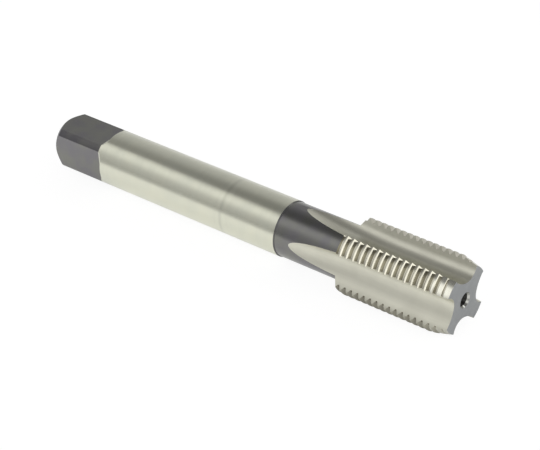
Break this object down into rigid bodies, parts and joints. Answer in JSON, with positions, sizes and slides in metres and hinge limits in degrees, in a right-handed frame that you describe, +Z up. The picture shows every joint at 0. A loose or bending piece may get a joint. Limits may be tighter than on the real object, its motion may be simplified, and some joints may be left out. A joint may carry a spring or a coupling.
{
  "type": "thread tap",
  "caption": "Straight-flute hand tap: square drive, plain round shank, necked body and a right-hand cutting thread with a tapered point.",
  "frame": {"origin": "centre of the drive end, on the tool's axis", "axes": "+X along the tool's axis to the cutting end; +Z up as the tap lies on two of its lands, so that one flute faces straight up"},
  "size_m": [0.102, 0.0142, 0.0142],
  "materials": {
    "tool_steel": "ground, with dark oxide left on the neck and the square"
  },
  "bodies": {
    "root": {"thread_tap": "tool_steel"}
  },
  "joints": []
}
